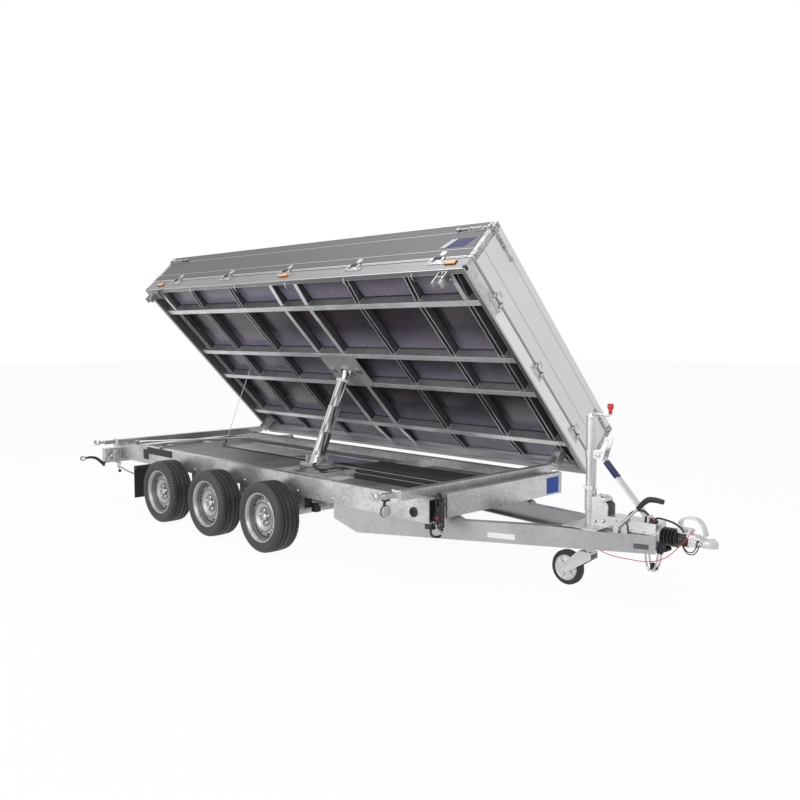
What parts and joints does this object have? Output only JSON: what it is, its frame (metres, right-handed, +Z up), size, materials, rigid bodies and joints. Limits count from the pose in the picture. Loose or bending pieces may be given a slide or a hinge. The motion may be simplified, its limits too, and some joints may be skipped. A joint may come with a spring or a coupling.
{
  "type": "tipping trailer",
  "caption": "Long low trailer with a flat drop-side bed tipped sideways on a telescopic ram, small wheels in a row under each rail and a braced drawbar with jockey wheel.",
  "frame": {"origin": "middle of the whole trailer's box, on the ground", "axes": "+X forward to the coupling, +Y to the left side, +Z up"},
  "size_m": [5.7049, 2.4747, 2.3508],
  "materials": {
    "galvanised_steel": "matt zinc with spangle",
    "bright_steel": "bright zinc plate",
    "anodised_aluminium": "satin anodised",
    "coated_board": "dark phenolic film",
    "chrome_ram": "polished",
    "black_plastic": "textured",
    "black_rubber": "matt",
    "tyre_rubber": "moulded tread",
    "amber_lens": "clear gloss",
    "silver_rim": "satin silver lacquer",
    "zinc_casting": "zinc plated casting"
  },
  "bodies": {
    "chassis": {"side_rails": "galvanised_steel", "cross_members": "galvanised_steel", "inner_rails": "galvanised_steel", "pivot_beams": "galvanised_steel", "drawbar_arms": "galvanised_steel", "drawbar_plates": "galvanised_steel", "coupling_housing": "bright_steel", "coupling_bellows": "black_rubber", "coupling_head": "zinc_casting", "handbrake_lever": "black_plastic", "jockey_column": "bright_steel", "column_brace": "bright_steel", "crank_handle": "bright_steel", "axles": "galvanised_steel", "deck_plates": "bright_steel", "tool_box": "black_plastic", "ram_cradle": "bright_steel", "hydraulic_unit": "black_plastic", "mud_flaps": "black_rubber", "rear_bar": "galvanised_steel", "marker_lamps": "black_rubber"},
    "bed": {"bed_raves": "anodised_aluminium", "bed_beams": "galvanised_steel", "bed_floor": "coated_board", "ball_brackets": "galvanised_steel", "ram_plate": "galvanised_steel", "corner_posts": "anodised_aluminium", "side_lamps": "amber_lens"},
    "right_board": {"right_board": "anodised_aluminium"},
    "left_board": {"left_board": "anodised_aluminium"},
    "front_board": {"front_board": "anodised_aluminium"},
    "tail_board": {"tail_board": "anodised_aluminium"},
    "ram_barrel": {"ram_barrel": "chrome_ram"},
    "ram_stage_1": {"ram_stage_1": "chrome_ram"},
    "ram_stage_2": {"ram_stage_2": "chrome_ram"},
    "ram_stage_3": {"ram_stage_3": "chrome_ram"},
    "jockey_leg": {"jockey_leg": "bright_steel"},
    "jockey_fork": {"jockey_fork": "galvanised_steel"},
    "jockey_wheel": {"jockey_wheel": "black_rubber"},
    "wheel_front_right": {"tyre_front_right": "tyre_rubber", "rim_front_right": "silver_rim"},
    "wheel_front_left": {"tyre_front_left": "tyre_rubber", "rim_front_left": "silver_rim"},
    "wheel_middle_right": {"tyre_middle_right": "tyre_rubber", "rim_middle_right": "silver_rim"},
    "wheel_middle_left": {"tyre_middle_left": "tyre_rubber", "rim_middle_left": "silver_rim"},
    "wheel_rear_right": {"tyre_rear_right": "tyre_rubber", "rim_rear_right": "silver_rim"},
    "wheel_rear_left": {"tyre_rear_left": "tyre_rubber", "rim_rear_left": "silver_rim"}
  },
  "joints": [
    {"name": "bed_tip", "type": "hinge", "parent": "chassis", "child": "bed", "pos_m": [-0.9025, 0.69961, 0.6], "axis": [1, 0, 0], "range_deg": [0, 45.7]},
    {"name": "right_board_hinge", "type": "hinge", "parent": "bed", "child": "right_board", "pos_m": [-0.9025, -0.47632, 2.11142], "axis": [1, 0, 0], "range_deg": [0, 180]},
    {"name": "left_board_hinge", "type": "hinge", "parent": "bed", "child": "left_board", "pos_m": [-0.9025, 0.99175, 0.60704], "axis": [-1, 0, 0], "range_deg": [0, 135]},
    {"name": "front_board_hinge", "type": "hinge", "parent": "bed", "child": "front_board", "pos_m": [1.3215, 0.25772, 1.35923], "axis": [0, 0.6984, -0.7157], "range_deg": [0, 180]},
    {"name": "tail_board_hinge", "type": "hinge", "parent": "bed", "child": "tail_board", "pos_m": [-2.7865, 0.25772, 1.35923], "axis": [0, -0.6984, 0.7157], "range_deg": [0, 135]},
    {"name": "ram_swing", "type": "hinge", "parent": "chassis", "child": "ram_barrel", "pos_m": [-0.6675, -0.15239, 0.545], "axis": [1, 0, 0], "range_deg": [0, 24.3]},
    {"name": "ram_slide_1", "type": "slide", "parent": "ram_barrel", "child": "ram_stage_1", "axis": [0, -0.4115, -0.9114], "range_m": [0, 0.21639]},
    {"name": "ram_slide_2", "type": "slide", "parent": "ram_stage_1", "child": "ram_stage_2", "axis": [0, -0.4115, -0.9114], "range_m": [0, 0.21639]},
    {"name": "ram_slide_3", "type": "slide", "parent": "ram_stage_2", "child": "ram_stage_3", "axis": [0, -0.4115, -0.9114], "range_m": [0, 0.21639]},
    {"name": "wheel_front_right_spin", "type": "hinge", "parent": "chassis", "child": "wheel_front_right", "pos_m": [-0.1775, -1.01439, 0.2625], "axis": [0, 1, 0], "continuous": true},
    {"name": "wheel_front_left_spin", "type": "hinge", "parent": "chassis", "child": "wheel_front_left", "pos_m": [-0.1775, 0.70961, 0.2625], "axis": [0, 1, 0], "continuous": true},
    {"name": "wheel_middle_right_spin", "type": "hinge", "parent": "chassis", "child": "wheel_middle_right", "pos_m": [-0.9025, -1.01439, 0.2625], "axis": [0, 1, 0], "continuous": true},
    {"name": "wheel_middle_left_spin", "type": "hinge", "parent": "chassis", "child": "wheel_middle_left", "pos_m": [-0.9025, 0.70961, 0.2625], "axis": [0, 1, 0], "continuous": true},
    {"name": "wheel_rear_right_spin", "type": "hinge", "parent": "chassis", "child": "wheel_rear_right", "pos_m": [-1.6275, -1.01439, 0.2625], "axis": [0, 1, 0], "continuous": true},
    {"name": "wheel_rear_left_spin", "type": "hinge", "parent": "chassis", "child": "wheel_rear_left", "pos_m": [-1.6275, 0.70961, 0.2625], "axis": [0, 1, 0], "continuous": true},
    {"name": "jockey_slide", "type": "slide", "parent": "chassis", "child": "jockey_leg", "axis": [0, 0, -1], "range_m": [-0.04, 0.16]},
    {"name": "jockey_swivel", "type": "hinge", "parent": "jockey_leg", "child": "jockey_fork", "pos_m": [2.0215, -0.15239, 0.24], "axis": [0, 0, 1], "continuous": true},
    {"name": "jockey_spin", "type": "hinge", "parent": "jockey_fork", "child": "jockey_wheel", "pos_m": [1.8615, -0.15239, 0.1125], "axis": [0, 1, 0], "continuous": true}
  ],
  "couplings": [
    {"joint": "ram_swing", "follows": "bed_tip", "ratio": 0.53177},
    {"joint": "ram_slide_1", "follows": "bed_tip", "m_per_rad": 0.27129},
    {"joint": "ram_slide_2", "follows": "bed_tip", "m_per_rad": 0.27129},
    {"joint": "ram_slide_3", "follows": "bed_tip", "m_per_rad": 0.27129}
  ]
}
